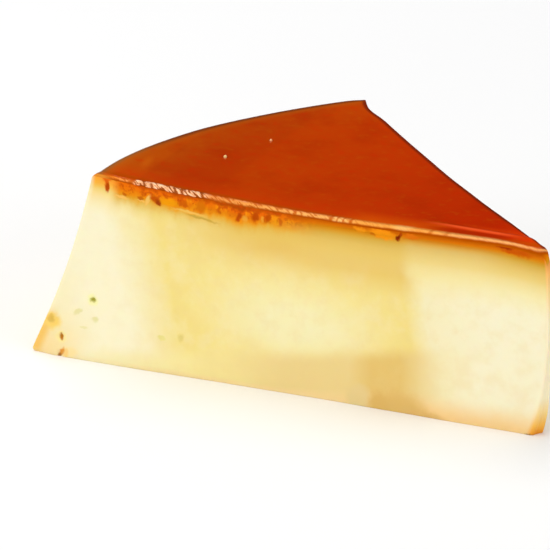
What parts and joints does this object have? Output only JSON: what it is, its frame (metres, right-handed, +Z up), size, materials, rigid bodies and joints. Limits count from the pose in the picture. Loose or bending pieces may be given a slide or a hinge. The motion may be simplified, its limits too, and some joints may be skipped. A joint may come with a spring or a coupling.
{
  "type": "condensed milk flan slice",
  "caption": "Wedge cut from a round, turned-out condensed milk flan: pale custard with a glossy layer of soaked-in caramel on top, lying flat on its base.",
  "frame": {"origin": "under the middle of the slice's bounding box, on the surface that the slice rests on", "axes": "+X from the outer wall to the tip of the slice, along the front cut; +Y from the front cut towards the back cut; +Z up"},
  "size_m": [0.111, 0.0776, 0.0395],
  "materials": {
    "custard": "moist baked custard, cream to pale yellow, softly translucent",
    "caramel": "wet red-brown caramel, glossy on top and bright orange at the cut"
  },
  "bodies": {
    "root": {"custard": "custard", "caramel": "caramel"}
  },
  "joints": []
}
